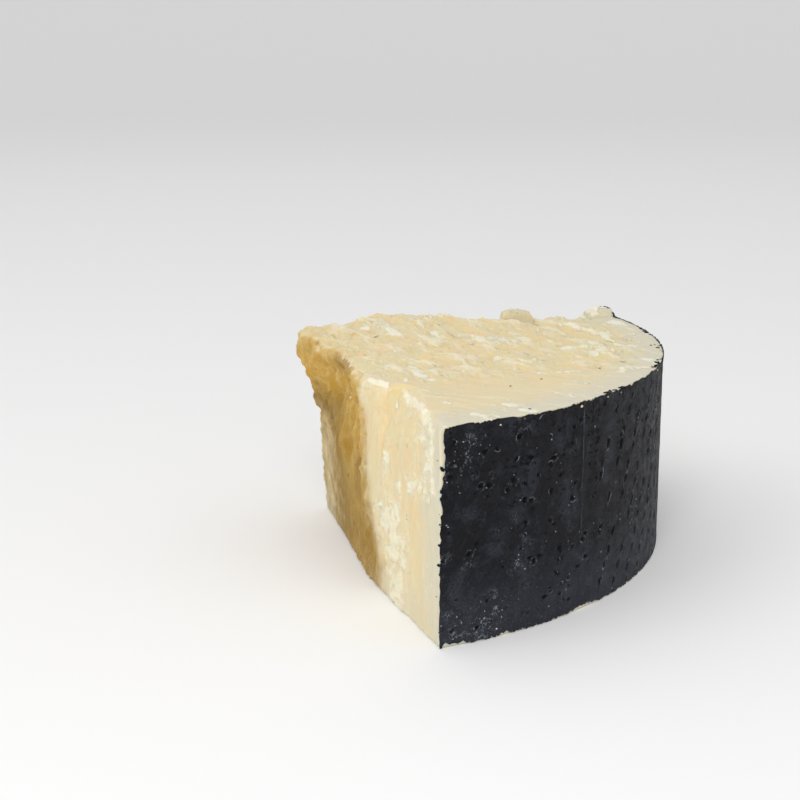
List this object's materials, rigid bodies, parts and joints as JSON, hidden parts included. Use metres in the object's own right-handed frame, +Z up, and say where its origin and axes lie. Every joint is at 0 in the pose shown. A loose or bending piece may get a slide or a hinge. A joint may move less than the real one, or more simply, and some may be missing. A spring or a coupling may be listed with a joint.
{
  "type": "pecorino romano chunk",
  "caption": "Quarter of a thick slab of hard sheep's milk cheese: black rind on the round side, one knife-cut side with a broken tip, one broken side.",
  "frame": {"origin": "middle of the bounding box, on the flat face that the chunk rests on", "axes": "+Z up, from the flat cut base to the torn top; +X towards the round side with the black rind; +Y along the longer side, from the front corner, where the knife's cut meets the rind, to the broken far side"},
  "size_m": [0.1374, 0.1998, 0.0764],
  "materials": {
    "paste": "moist crumbly cheese paste, soft sheen, paler near the rind",
    "rind": "thin black coat, satin, pitted"
  },
  "bodies": {
    "root": {"cheese_chunk": "paste"}
  },
  "joints": []
}
